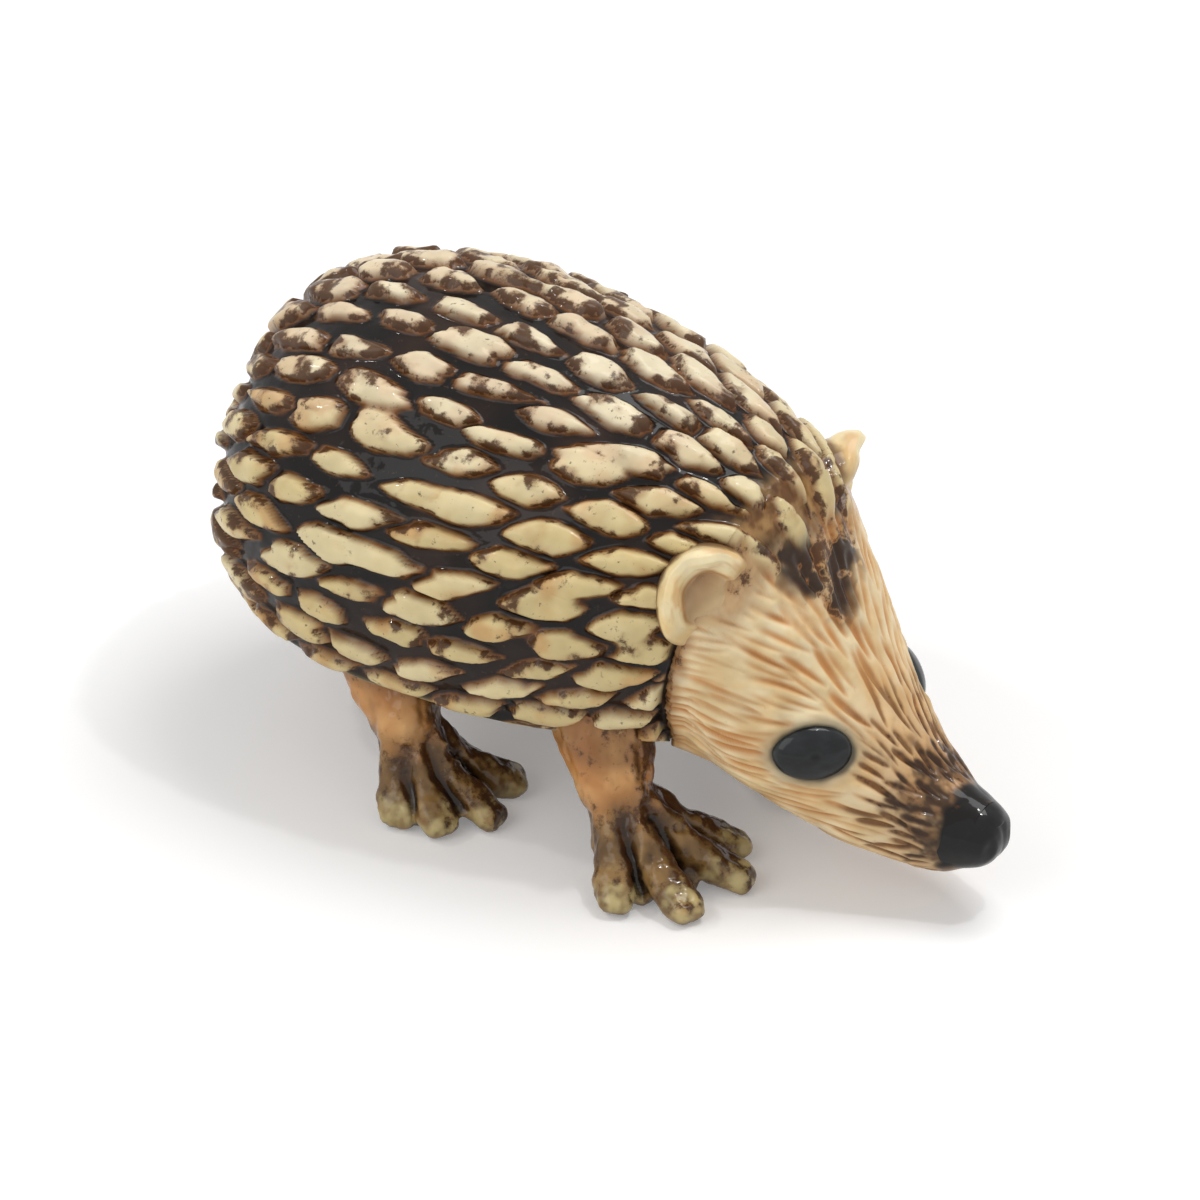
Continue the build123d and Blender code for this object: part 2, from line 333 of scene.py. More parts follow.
def tinted(tree, colour, tint, share):
    """The colour, mixed with a plain tint by share."""
    inputs = {"Factor": share, "A": colour, "B": (*tint, 1)}
    return add_node(tree, "ShaderNodeMix", inputs, data_type="RGBA")["Result"]


def glaze_material(name, speckle, speckle_size, gloss, pits, tint=(0.05, 0.03, 0.02)):
    """Glazed ceramic: the painted colour with fine specks, a clear glossy coat and a slight orange peel."""
    material, tree, shader, place = new_material(name)
    colour = add_node(tree, "ShaderNodeAttribute", attribute_name="glaze")["Color"]
    specks = noise_texture(tree, place, speckle_size, 3, 0.6)
    colour = tinted(tree, colour, tint, map_range(tree, specks, 0.62, 0.74, 0, speckle, "SMOOTHSTEP"))

    # Iron stains, and on the legs painted shade, with crisp, freckled edges where the painted layer of
    # stains and shade is strong
    stain_and_shade = add_node(tree, "ShaderNodeAttribute", attribute_name="stain_and_shade")["Fac"]
    grain = noise_texture(tree, place, 0.5, 6, 0.72)
    amount = add_node(tree, "ShaderNodeMath", {0: stain_and_shade, 1: grain}, operation="ADD")["Value"]
    colour = tinted(tree, colour, STAIN_AND_SHADE_TINT, map_range(tree, amount, 0.88, 1.06, 0, 0.9, "SMOOTHSTEP"))

    cloud = noise_texture(tree, place, 1.3, 2)
    tone = {"Value": map_range(tree, cloud, 0.3, 0.7, 0.9, 1.08), "Color": colour}
    peel = {"Strength": pits, "Distance": 0.05 * MM, "Height": noise_texture(tree, place, 0.5, 2)}
    bumps = add_node(tree, "ShaderNodeBump", peel)["Normal"]
    feed(tree, shader, {
        "Base Color": add_node(tree, "ShaderNodeHueSaturation", tone)["Color"],
        "Roughness": map_range(tree, cloud, 0.35, 0.7, 0.3, 0.42),
        "Specular IOR Level": 0.05, "Normal": bumps, "Coat Normal": bumps,
        "Coat Weight": gloss, "Coat Roughness": 0.05, "Coat IOR": 1.5,
    })
    return material


coat_glaze = glaze_material("coat_glaze", 0.75, 0.28, 0.34, 0.25)
face_glaze = glaze_material("face_glaze", 0.12, 0.2, 0.4, 0.15, tint=(0.12, 0.06, 0.02))
leg_glaze = glaze_material("leg_glaze", 0.35, 0.35, 0.55, 0.25)
dark_glaze = glaze_material("dark_glaze", 0.1, 0.2, 0.5, 0.1)

OUTER, OUTER_LENGTH = egg_profile(0)
INNER, INNER_LENGTH = egg_profile(COAT_THICKNESS)
OUTER_ARC = np.linspace(0, OUTER_LENGTH, len(OUTER))


def shell_grid(profile, length, rows, columns):
    """A grid on the egg between rump, skirt and neck, as points and their angle from the top."""
    arc = np.linspace(0, length, len(profile))
    x, radius = profile.T
    drop = AXIS_HEIGHT - SKIRT_HEIGHT
    reach = np.where(radius <= drop, pi, np.arccos(np.clip(-drop / np.maximum(radius, 1e-6), -1, 1)))
    # Rows lie closer together where the skirt starts to cut the rings
    spread = arc + running(np.abs(np.diff(reach)) * radius[1:] * 0.6)
    points, angles = np.zeros((rows, columns, 3)), np.zeros((rows, columns))
    for j, share in enumerate(np.linspace(-1, 1, columns)):
        angle = share * reach
        ahead = neck_distance(x, AXIS_HEIGHT + radius * np.cos(angle))
        beyond = np.argmax(ahead > 0)
        end = np.interp(0, ahead[beyond - 1 : beyond + 1], arc[beyond - 1 : beyond + 1])
        place = np.interp(np.linspace(0, np.interp(end, arc, spread), rows), spread, arc)
        a, r = np.interp(place, arc, angle), np.interp(place, arc, radius)
        angles[:, j] = a
        points[:, j] = np.stack([np.interp(place, arc, x), r * np.sin(a), AXIS_HEIGHT + r * np.cos(a)], -1)
    return points, angles


def quill_places():
    """The pads in staggered rings, and their groups: merged pads share one.

    A pad has its place along the outline, angle, half length, half width, slant, height and skew.
    """
    luck = np.random.default_rng(7)
    rows = []
    place, ring = OUTER_LENGTH - FIRST_RING_BACK + RING_PITCH, -1
    while place > 0.5:
        radius = np.interp(place, OUTER_ARC, OUTER[:, 1])
        count = next(number for least, number in RING_SIZES if radius >= least)
        size = min(1, radius * FULL_RING / count / FULL_RING_RADIUS)
        forward = ramp(np.interp(place, OUTER_ARC, OUTER[:, 0]), -6, 5)
        for k in range(count):
            rows.append((
                place + luck.uniform(-0.3, 0.3),
                wrapped(2 * pi * (k + ring % 2 / 2) / count) + luck.uniform(-0.16, 0.16) / max(radius, 1),
                luck.uniform(1.5, 2.3) * max(size, 0.75),
                luck.uniform(0.5, 0.8) * size,
                luck.uniform(-0.08, 0.24) + 0.22 * forward,
                luck.uniform(0.7, 1.0),
                luck.uniform(-0.42, 0.3),
            ))
        place -= RING_PITCH
        ring += 1
    table = np.array(rows)
    places, turns = table[:, 0], table[:, 1]
    group = np.arange(len(table))
    x = np.interp(places, OUTER_ARC, OUTER[:, 0])
    for k in range(len(table)):
        on_top = abs(turns[k]) < 1.0 and -14 < x[k] < 3.5
        if luck.uniform() < (TOP_MERGES - 0.15 * (x[k] > -2) if on_top else FLANK_MERGES):
            gap = np.hypot((places - places[k]) / 1.6, (turns - turns[k]) * COAT_RADIUS)
            gap[group == group[k]] = 99
            other = group[np.argmin(gap)]
            if on_top or (group == other).sum() + (group == group[k]).sum() == 2:
                group[group == other] = group[k]
    return table, group


QUILLS, QUILL_GROUPS = quill_places()


def quill_field(flat):
    """For points on the egg: distance inside their pad's edge, its half width, tone, height, place in it."""
    x, y, z = flat.T
    places = np.interp(x, OUTER[:, 0], OUTER_ARC) + noise(flat, 1.6, 3) * 0.16
    angles, radii = np.arctan2(y, z - AXIS_HEIGHT), np.hypot(y, z - AXIS_HEIGHT)
    order = np.argsort(QUILL_GROUPS, kind="stable")
    pad_place, pad_angle, half_length, half_width, slant, pad_height, skew = QUILLS[order].T
    slant = -slant * np.sin(pad_angle)
    starts = np.unique(QUILL_GROUPS[order], return_index=True)[1]
    tones = np.random.default_rng(11).uniform(0, 1, len(starts))
    inside, width, tone, height, lengthwise = (np.zeros(len(flat)) for _ in range(5))
    for first in range(0, len(flat), 4000):
        part = slice(first, first + 4000)
        along = places[part, None] - pad_place
        across = wrapped(angles[part, None] - pad_angle) * radii[part, None]
        a = (along * np.cos(slant) + across * np.sin(slant)) / half_length
        b = (across * np.cos(slant) - along * np.sin(slant)) / half_width
        end_share = np.where(a < skew, (skew - a) / (1 + skew), (a - skew) / (1 - skew))
        reach = np.abs(b) ** 1.15 + end_share**1.9
        pad = np.argmin(reach, 1)
        merged = np.add.reduceat(np.exp(-2.6 * np.minimum(reach, 60)), starts, axis=1)
        merged = -np.log(np.maximum(merged, 1e-60)) / 2.6
        two = np.argpartition(merged, 1, axis=1)[:, :2]
        values = np.take_along_axis(merged, two, 1)
        closest = np.sort(values, 1)
        nearest = np.take_along_axis(two, np.argsort(values, 1)[:, :1], 1)[:, 0]
        edge_gap = np.minimum(1 - closest[:, 0], (closest[:, 1] - closest[:, 0]) * 0.6 - 0.22)
        inside[part], width[part] = edge_gap * half_width[pad], half_width[pad]
        tone[part], height[part] = tones[nearest], pad_height[pad]
        lengthwise[part] = np.take_along_axis(a, pad[:, None], 1)[:, 0]
    inside += noise(flat, 0.9, 21) * 0.1 + noise(flat, 0.4, 22) * 0.045
    return inside, width, tone, height, lengthwise


def quill_lift(flat, field):
    """How far the surface stands out of the egg: domed pads over sunken, wavy grooves."""
    inside, width, tone, height, lengthwise = field
    top = ramp(flat[:, 2], TOP_LOW, TOP_HIGH)
    short = 1 - np.clip(inside / np.maximum(width, 0.2), 0, 1)
    dome = ramp(inside, -0.05, 0.24) * (1 - 0.42 * short**2)
    rise = dome * (0.57 - 0.1 * np.clip(lengthwise, -1, 1) * (tone - 0.3)) * height
    rise += dome * (0.07 * noise(flat, 1.0, 5) * (0.6 + 1.3 * top) + 0.03 * noise(flat, 0.4, 6) * (1 + top))
    return -0.18 + 0.05 * rough(flat, 1.3, 7) + rise


def quill_colour(flat, field):
    """Glaze on pads and grooves, and its stains: black grooves, orange-brown edges, mottled cream pads, and
    a painted whitish sheen on the top.
    """
    inside, _, tone, _, lengthwise = field
    top = ramp(flat[:, 2], TOP_LOW, TOP_HIGH)
    rear = ramp(flat[:, 0], -8.0, -15.0)
    edge = inside + noise(flat, 0.4, 31) * 0.05
    end_stain = ramp(lengthwise * np.where(tone > 0.25, 1, -1), 0.1, 0.95)
    tan = rough(flat, 1.1, 41) + 0.45 * end_stain + 0.4 * top + 0.4 * rear + 0.3 * (0.5 - tone)
    brown = rough(flat, 0.7, 51) + 0.24 * top + 0.5 * rear + 0.42 * end_stain
    brown += 0.34 * ramp(inside, 0.42, 0.05)
    dark = rough(flat, 0.5, 61) + 0.25 * end_stain + 0.2 * top + 0.2 * rear
    cream = glazed(
        CREAM,
        (PALE_CREAM, ramp(tone + 0.3 * noise(flat, 0.8, 42), 0.2, 1.0)),
        (TAN, ramp(tan, 0.15, 0.8) * 0.65),
        # painted whitish sheen on the top
        (TOP_SHEEN_CREAM, 0.55 * top),
    )
    colour = glazed(
        GROOVE,
        (DARK_BROWN, ramp(noise(flat, 2.0, 43), -0.2, 0.8)),
        (ORANGE_BROWN, ramp(edge, -0.04, 0.1)),
        (cream, ramp(edge, 0.04, 0.22)),
        (ORANGE_BROWN, ramp(brown, 0.35, 0.85) * 0.55 * ramp(edge, 0.0, 0.08)),
    )
    stain_and_shade = 0.24 + 0.3 * ramp(brown, 0.1, 1.0) + 0.14 * ramp(dark, 0.45, 0.75) + 0.12 * ramp(edge, 0.3, 0.05)
    return colour, stain_and_shade * ramp(edge, -0.02, 0.08)


def egg_normals(flat):
    """Outward directions of the egg's surface."""
    x, y, z = flat.T
    slope = np.interp(x, OUTER[:, 0], np.gradient(OUTER[:, 1]) / np.gradient(OUTER[:, 0]))
    angles = np.arctan2(y, z - AXIS_HEIGHT)
    return unit(np.stack([-slope, np.sin(angles), np.cos(angles)], 1))


def crown_share(flat):
    """1 on the crown, where the pads run on from the coat over the head, and 0 beside the ears."""
    return ramp(flat[:, 2] + 0.3 * noise(flat, 1.5, 82), 14.3, 15.5)


def sandy_ground(flat, colour, inside, ahead):
    """Near and ahead of the neck line, the ground between the pads is sandy brown instead of black."""
    sandy = mix(DARK_SAND, SAND, ramp(rough(flat, 0.45, 87), -0.4, 0.6))
    share = ramp(ahead + 0.5 * rough(flat, 0.9, 88), -0.9, 0.6) * (1 - ramp(inside, 0.0, 0.15))
    return mix(colour, sandy, share * crown_share(flat) * 0.8)


def coat_piece():
    """The coat: domed pads over dark glossy grooves, a pale rim along the skirt, and its inner side."""
    rows, columns = COAT_GRID
    outer, angles = shell_grid(OUTER, OUTER_LENGTH, rows, columns)
    inner, _ = shell_grid(INNER, INNER_LENGTH, rows, columns)
    flat = outer.reshape(-1, 3)
    x, _, z = flat.T

    field = quill_field(flat)
    to_neck, to_skirt = -neck_distance(x, z), z - SKIRT_HEIGHT
    crown = crown_share(flat)
    wavy_neck = to_neck + 0.12 * noise(flat, 1.1, 11)
    edge_fade = np.maximum(ramp(wavy_neck, 0.0, 0.35), crown)
    lift = quill_lift(flat, field) * edge_fade - 0.28 * (1 - edge_fade)
    rim = bell(to_skirt - 0.3, 0.3)
    lift = lift * (1 - rim) + (0.06 + 0.06 * noise(flat, 1.8, 9)) * rim
    lift = np.minimum(lift, MOST_LIFT) - 0.31 * ramp(x, -14.5, -17.4)
    low = np.clip(1 - to_skirt / 0.5, 0, 1)
    lift = lift - 0.45 * (1 - np.sqrt(1 - low**2))
    shaped = flat + egg_normals(flat) * lift[:, None]
    shaped[:, 2] = np.maximum(shaped[:, 2], SKIRT_HEIGHT)
    shaped[:, 0] = np.maximum(shaped[:, 0], RUMP_X + 0.01)
    shaped = shaped.reshape(rows, columns, 3)
    for row in range(rows):
        if abs(angles[row, 0]) > pi - 1e-6:
            shaped[row, 0] = shaped[row, -1] = (shaped[row, 0] + shaped[row, -1]) / 2
    shaped[0] = shaped[0].mean(0)

    colour, stain_and_shade = quill_colour(flat, field)
    pale_rim = bell(to_skirt - 0.25, 0.16) * ramp(x, -15.5, -12)
    neck_line = (1 - ramp(wavy_neck, 0.02, 0.2)) * (1 - crown)
    colour = glazed(
        sandy_ground(flat, colour, field[0], -to_neck),
        (CREAM, pale_rim * ramp(noise(flat, 1.3, 10), -0.6, 0.3) * 0.8),
        (GROOVE, neck_line),
    )
    stain_and_shade = stain_and_shade * (1 - neck_line) + 0.4 * pale_rim * ramp(rough(flat, 0.9, 12), -0.2, 0.6)

    # The inner side is coarse. Along the edge, each of its faces meets several outer ones
    closed = int(np.argmax(np.abs(angles[:, 0]) < pi - 1e-6)) - 1
    coarse_rows = sorted({*range(0, rows, INNER_STEP), closed, rows - 1})
    coarse_columns = sorted({*range(0, columns, INNER_STEP), columns - 1})
    inner_points = inner[coarse_rows][:, coarse_columns].reshape(-1, 3)
    count, width = rows * columns, len(coarse_columns)
    faces = grid_faces(rows, columns, False)
    faces += grid_faces(len(coarse_rows), width, False, count, True)
    last, last_inner = (rows - 1) * columns, count + (len(coarse_rows) - 1) * width
    for k, (start, end) in enumerate(zip(coarse_columns[:-1], coarse_columns[1:])):
        faces.append([*range(last + start, last + end + 1), last_inner + k + 1, last_inner + k])
    for k, (start, end) in enumerate(zip(coarse_rows[:-1], coarse_rows[1:])):
        for column, inner_column in ((0, 0), (columns - 1, width - 1)) if start >= closed else ():
            corner = count + k * width + inner_column
            outer_edge = range(start * columns + column, end * columns + column + 1, columns)
            faces.append([*outer_edge, corner + width, corner])
    vertices = np.concatenate([shaped.reshape(-1, 3), inner_points])
    colour = np.concatenate([colour, np.tile(DARK_BROWN, (len(inner_points), 1))])
    stain_and_shade = np.concatenate([stain_and_shade, np.full(len(inner_points), 0.3)])
    return make_piece("quilled_coat", vertices, faces, colour, coat_glaze, "coat", stain_and_shade)


coat = coat_piece()


def side_plane(x, side_distance, z, side, forward_turn, upward_turn):
    """Centre, ahead, up and outward directions of a place on the animal's side."""
    forward, upward = radians(forward_turn), radians(upward_turn)
    outward = np.array((sin(forward) * cos(upward), side * cos(forward) * cos(upward), sin(upward)))
    ahead = np.array((cos(forward), -side * sin(forward), 0))
    up = np.cross(outward, ahead) * (1 if np.cross(outward, ahead)[2] > 0 else -1)
    return np.array((x, side * side_distance, z)), ahead, up, outward


EYES = [side_plane(10.85, 3.5, 7.15, side, 41.0, 15.0) for side in (-1, 1)]
EARS = [side_plane(6.6, 4.9, 13.8, side, 38.0, 12.0) for side in (-1, 1)]


def head_values(x):
    """Middle height, half width and half height of the head at x, smooth between its sections."""
    places, sizes = HEAD_SECTIONS[:, 0], HEAD_SECTIONS[:, 1:]
    along = (np.asarray(x, float) - HEAD_BACK_X) / HEAD_LENGTH
    index = np.clip(np.searchsorted(places, along) - 1, 0, len(places) - 2)
    gap = (places[index + 1] - places[index])[..., None]
    t = np.clip((along - places[index])[..., None] / gap, 0, 1)
    values = hermite(t, gap, sizes, np.gradient(sizes, places, axis=0), index)
    middle = NECK_MIDDLE_HEIGHT - values[..., 0] * (NECK_MIDDLE_HEIGHT - NOSE_HEIGHT)
    return middle, values[..., 1] * NECK_HALF_WIDTH, values[..., 2] * NECK_HALF_HEIGHT


def head_grid(rows, columns):
    """Points from snout to neck. Above the skirt the rear swells until it meets the coat's surface."""
    xs = np.linspace(16.9, 3.8, 600)
    middle, half_width, half_height = head_values(xs)
    grid = np.zeros((rows, columns, 3))
    for j, turn in enumerate(ring_angles(columns)):
        line = np.stack([xs, half_width * sin(turn), middle + half_height * cos(turn)], 1)
        ahead = neck_distance(xs, line[:, 2])
        beyond = np.argmax(ahead < 0)
        path = running(np.linalg.norm(np.diff(line, axis=0), axis=1))
        end = np.interp(0, [ahead[beyond], ahead[beyond - 1]], [path[beyond], path[beyond - 1]])
        grid[:, j] = resampled(np.linspace(0, end, rows), path, line)
    flat = grid.reshape(-1, 3)
    x, _, z = flat.T
    from_axis = flat * np.array((0, 1, 1)) - np.array((0, 0, AXIS_HEIGHT))
    distance = np.linalg.norm(from_axis, axis=1)
    target = np.interp(x, OUTER[:, 0], OUTER[:, 1]) - 0.12 * (1 - crown_share(flat))
    near = ramp(neck_distance(x, z), 3.4, 0.0) ** 1.4 * ramp(z, SKIRT_HEIGHT - 0.5, SKIRT_HEIGHT + 1.2)
    swell = np.clip(target - distance, -0.5, 2.5) * near
    flat = flat + from_axis / np.maximum(distance, 1e-6)[:, None] * swell[:, None]
    return flat.reshape(rows, columns, 3)


def fur_strokes(points, normals, half_length, half_width, spacing, spread, seed, tries):
    """Carved grooves that run forward over the surface: 0 between them, 1 in the middle of a groove."""
    luck = np.random.default_rng(seed)
    picks = luck.choice(len(points), tries, replace=False)
    turns = luck.uniform(-1, 1, tries)
    sizes = luck.uniform(0.7, 1.25, tries)
    depths = luck.uniform(0.45, 1.0, tries)
    bends = luck.uniform(-0.12, 0.12, tries)
    centres, rows = np.zeros((0, 3)), []
    drift = np.stack([noise(points[picks], 2.6, seed + k) for k in range(3)], 1)
    for n, k in enumerate(picks):
        ahead = np.array((1.0, 0, -0.08)) + 0.16 * drift[n]
        ahead -= normals[k] * (ahead @ normals[k])
        ahead /= np.linalg.norm(ahead)
        side = np.cross(normals[k], ahead)
        turned, sideways = cos(turns[n] * spread[k]), sin(turns[n] * spread[k])
        ahead, side = ahead * turned + side * sideways, side * turned - ahead * sideways
        length = half_length[k] * sizes[n]
        if len(rows):
            gap = centres - points[k]
            a, b, c = gap @ ahead / (1.55 * length), gap @ side / spacing[k], gap @ normals[k] / 1.5
            if np.min(a * a + b * b + c * c) < 1:
                continue
        rows.append((k, ahead, side, length, half_width[k] * (0.8 + 0.4 * depths[n]), depths[n], bends[n]))
        centres = points[[row[0] for row in rows]]
    groove = np.zeros(len(points))
    for k, ahead, side, length, width, depth, bend in rows:
        near = np.flatnonzero(np.abs((points - points[k]) @ ahead) < length)
        gap = points[near] - points[k]
        a = gap @ ahead / length
        b = (gap @ side + bend * length * (a * a - 0.4)) / (width * (1.15 - 0.45 * a))
        level = np.exp(-b * b) * (1 - a * a) ** 0.7 * depth * (np.abs(gap @ normals[k]) < 1.3)
        groove[near] = np.maximum(groove[near], level)
    return groove


def head_piece():
    """The head: carved fur, pads on the crown, a dark brow band, a brown snout, a seat round each eye."""
    rows, columns = HEAD_GRID
    grid = head_grid(rows, columns)
    flat, normal = grid.reshape(-1, 3), normals_of(grid).reshape(-1, 3)
    x, y, z = flat.T
    out = flat - np.stack([x, x * 0, head_values(x)[0]], 1)
    normal = normal * np.sign(np.sum(normal * out, 1, keepdims=True) + 1e-9)
    to_neck = neck_distance(x, z)
    crown = crown_share(flat)
    on_egg = crown * ramp(to_neck, 1.8, 0.2)
    normal = unit(mix(normal, egg_normals(flat), on_egg))
    up_share = normal[:, 2]

    eye_gap, ear_gap = np.full(len(flat), 99.0), np.full(len(flat), 99.0)
    for centre, ahead, up, outward in EYES:
        gap = flat - centre + up * 0.12
        reach = np.sqrt((gap @ ahead / 1.62) ** 2 + (gap @ up / 1.16) ** 2 + (gap @ outward / 2.0) ** 2)
        eye_gap = np.minimum(eye_gap, reach)
    for centre, ahead, _, _ in EARS:
        ear_gap = np.minimum(ear_gap, np.linalg.norm(flat - centre - ahead * 0.6, axis=1))
    brow, snout = ramp(up_share, 0.35, 0.75) * ramp(x, 12.6, 10.5), ramp(x, 11.5, 14.5)
    carved = ramp(eye_gap, 1.02, 1.35) * ramp(ear_gap, 1.0, 1.7) * ramp(x, 16.0, 14.8)
    groove = carved * fur_strokes(
        flat, normal, 1.8 - 0.9 * brow - 0.95 * snout, 0.11 + 0.14 * brow,
        0.32 + 0.44 * brow - 0.01 * snout, 0.1 + 0.3 * brow + 0.12 * snout, 5, FUR_TRIES,
    )
    ripple = rough(flat * np.array((0.45, 1, 1)), 0.5, 8)
    lift = 0.03 - 0.2 * groove + 0.06 * rough(flat, 1.6, 18) + 0.025 * ripple * carved
    lift -= 0.16 * (1 - ramp(eye_gap, 0.95, 1.25))
    lift += 0.03 * bell(eye_gap - 1.24, 0.15)
    lift -= 0.3 * (1 - ramp(to_neck, 0.0, 0.28)) * ramp(z, SKIRT_HEIGHT, SKIRT_HEIGHT + 1) * (1 - crown)
    field = quill_field(flat)
    pads = ramp(z + 0.3 * noise(flat, 1.5, 82), 13.6, 14.8)
    pads *= ramp(to_neck + 0.5 * noise(flat, 1.1, 81), 2.3, 1.1)
    pads *= ramp(np.abs(y) + 0.4 * noise(flat, 1.0, 90), 4.0, 2.9)
    pads = np.maximum(pads, on_egg * ramp(to_neck, 0.5, 0.2))
    lift = mix(lift, np.minimum(quill_lift(flat, field), MOST_LIFT), pads)
    shaped = flat + normal * lift[:, None]

    # Cream fur with brown grooves
    soft = ramp(groove, 0.05, 0.7)
    strength = ramp(rough(flat, 1.3, 72), -0.9, 0.3)
    orange = ramp(rough(flat, 2.4, 73), -0.1, 0.8) * 0.35
    orange += 0.55 * brow * ramp(x, 8.8, 10.8) * (0.4 + 0.6 * soft)
    bridge = ramp(up_share, 0.3, 0.8) * ramp(x, 10.5, 12.5)
    colour = glazed(
        FUR,
        (PALE_FUR, ramp(noise(flat, 0.9, 70) - 0.8 * ripple, -0.8, 0.8)),
        (FUR_LINE, soft * (0.25 + 0.75 * strength)),
        (FUR_DEEP, ramp(groove, 0.45, 0.95) * strength * (0.35 + 0.35 * snout)),
        (FUR_ORANGE, np.clip(orange + 0.5 * bridge, 0, 0.8)),
    )

    # The band across the brow, with dark blobs and a fringe of stain, and the pads behind it
    band_start = np.maximum(5.3 + 0.8 * rough(flat, 1.4, 74) - 0.9 * np.abs(y), 2.0)
    band = ramp(to_neck, band_start, band_start - 1.0) * ramp(np.abs(y), 5.6, 4.4) * ramp(z, 10, 12)
    speckled = ramp(rough(flat, 0.4, 75) + 0.5 * noise(flat, 0.16, 83), -0.35, 0.5)
    blobs = rough(flat, 1.2, 76) + 0.5 * ramp(to_neck, 1.6, 3.0) + 0.2 * noise(flat, 0.25, 84)
    blobs -= 0.5 * ramp(np.abs(y), 2.2, 4.0)
    fringe, blobs = band * ramp(blobs, -0.3, 0.12), band * ramp(blobs, 0.14, 0.25)
    stain_and_shade = (band * (0.38 + 0.1 * speckled) + 0.14 * fringe) * (1 - blobs)
    pad_colour, pad_stain = quill_colour(flat, field)
    pad_share = np.clip(pads * 1.3, 0, 1)
    colour = glazed(
        colour,
        (BAND, band * (0.5 + 0.35 * speckled)),
        (BAND_DARK, blobs * 0.95),
        (sandy_ground(flat, pad_colour, field[0], to_neck), pad_share),
    )
    stain_and_shade = mix(stain_and_shade, np.maximum(pad_stain, 0.5 * stain_and_shade), pad_share)

    # The snout darkens towards the nose. Eyes and coat have an edge of their own, and round each ear the fur
    # takes a painted shade
    dark_snout = ramp(x - 0.9 * ramp(up_share, 0.3, -0.3), 11.4, 15.2)
    streak = ramp(soft + 0.6 * rough(flat * np.array((0.5, 1, 1)), 0.5, 77) + 1.0 * dark_snout, 0.5, 1.2)
    streak *= ramp(x, 10.8, 13.0)
    dark_end = ramp(dark_snout + 0.4 * rough(flat, 0.5, 78) + 0.3 * soft, 0.8, 1.15)
    side_edge = 1 - ramp(to_neck + 0.2 * noise(flat, 0.5, 80), 0.15, 0.7)
    side_edge *= ramp(z, SKIRT_HEIGHT - 1, SKIRT_HEIGHT + 1) * (1 - crown)
    colour = glazed(
        colour,
        (SNOUT, 0.6 * dark_snout),
        (SNOUT_STREAK, streak * 0.75),
        (DARK_BROWN, dark_end * 0.85),
        (GROOVE, ramp(x + 0.25 * noise(flat, 0.6, 79), 15.65, 16.0)),
        (EYE_SHADE, ramp(eye_gap, 1.5, 1.05) * 0.5),
        (EYE_SEAT, ramp(eye_gap + 0.04 * noise(flat, 0.4, 85), 1.12, 0.98) * 0.85),
        (NECK_EDGE, side_edge * 0.7),
        (GROOVE, (1 - ramp(to_neck + 0.08 * noise(flat, 0.7, 89), 0.0, 0.12)) * (1 - crown)),
        (TAN, ramp(up_share, -0.45, -0.85) * 0.5),
        # painted shade round the ear, running on into its hollow
        (EAR_SHADE, ramp(ear_gap, 2.2, 1.0) * 0.5),
    )
    stain_and_shade = np.maximum(stain_and_shade, (0.36 * streak + 0.08 * dark_snout) * (1 - 0.8 * dark_end))
    stain_and_shade = np.maximum(stain_and_shade, 0.42 * side_edge) * ramp(eye_gap, 1.0, 1.3)

    vertices = np.concatenate([shaped, [shaped[:columns].mean(0), shaped[-columns:].mean(0)]])
    colour = np.concatenate([colour, [GROOVE, BROWN]])
    stain_and_shade = np.concatenate([stain_and_shade, [0, 0]])
    tip = rows * columns
    faces = grid_faces(rows, columns, True)
    faces += fan_faces(0, columns, tip) + fan_faces(tip - columns, columns, tip + 1)
    return make_piece("carved_head", vertices, faces, colour, face_glaze, "head", stain_and_shade)


head = head_piece()


def eye_piece(centre, ahead, up, outward, side_name):
    """An eye: an oval bead with a faint rim and a small dimple for its pupil."""
    rows, columns = EYE_GRID
    p, t = np.meshgrid(np.linspace(0, pi, rows), ring_angles(columns), indexing="ij")
    way = np.stack([np.sin(p) * np.cos(t), np.sin(p) * np.sin(t), np.cos(p)], -1).reshape(-1, 3)
    reach = np.hypot(way[:, 0], way[:, 1])
    swell = (way[:, 2] > 0) * (0.012 * bell(reach - 0.88, 0.07) - 0.1 * bell(reach, 0.1))
    local = way * np.array(EYE_SIZES) * (1 + swell)[:, None]
    vertices = centre + outward * 0.12 - up * 0.12 + local @ np.array((ahead, up, outward))
    reach = reach + 0.04 * noise(vertices, 0.35, 91)
    colour = glazed(
        BEAD,
        (BEAD_STREAK, ramp(rough(vertices * np.array((1, 1, 2.5)), 0.7, 92), -0.5, 0.8)),
        (BEAD_RIM, ramp(reach, 0.86, 1.0) * 0.7),
        (PUPIL, ramp(reach, 0.17, 0.07)),
    )
    faces = grid_faces(rows, columns, True)
    make_piece("bead_eye_" + side_name, vertices, faces, colour, dark_glaze, "eye_" + side_name)


for plane, side_name in zip(EYES, ("right", "left")):
    eye_piece(*plane, side_name)


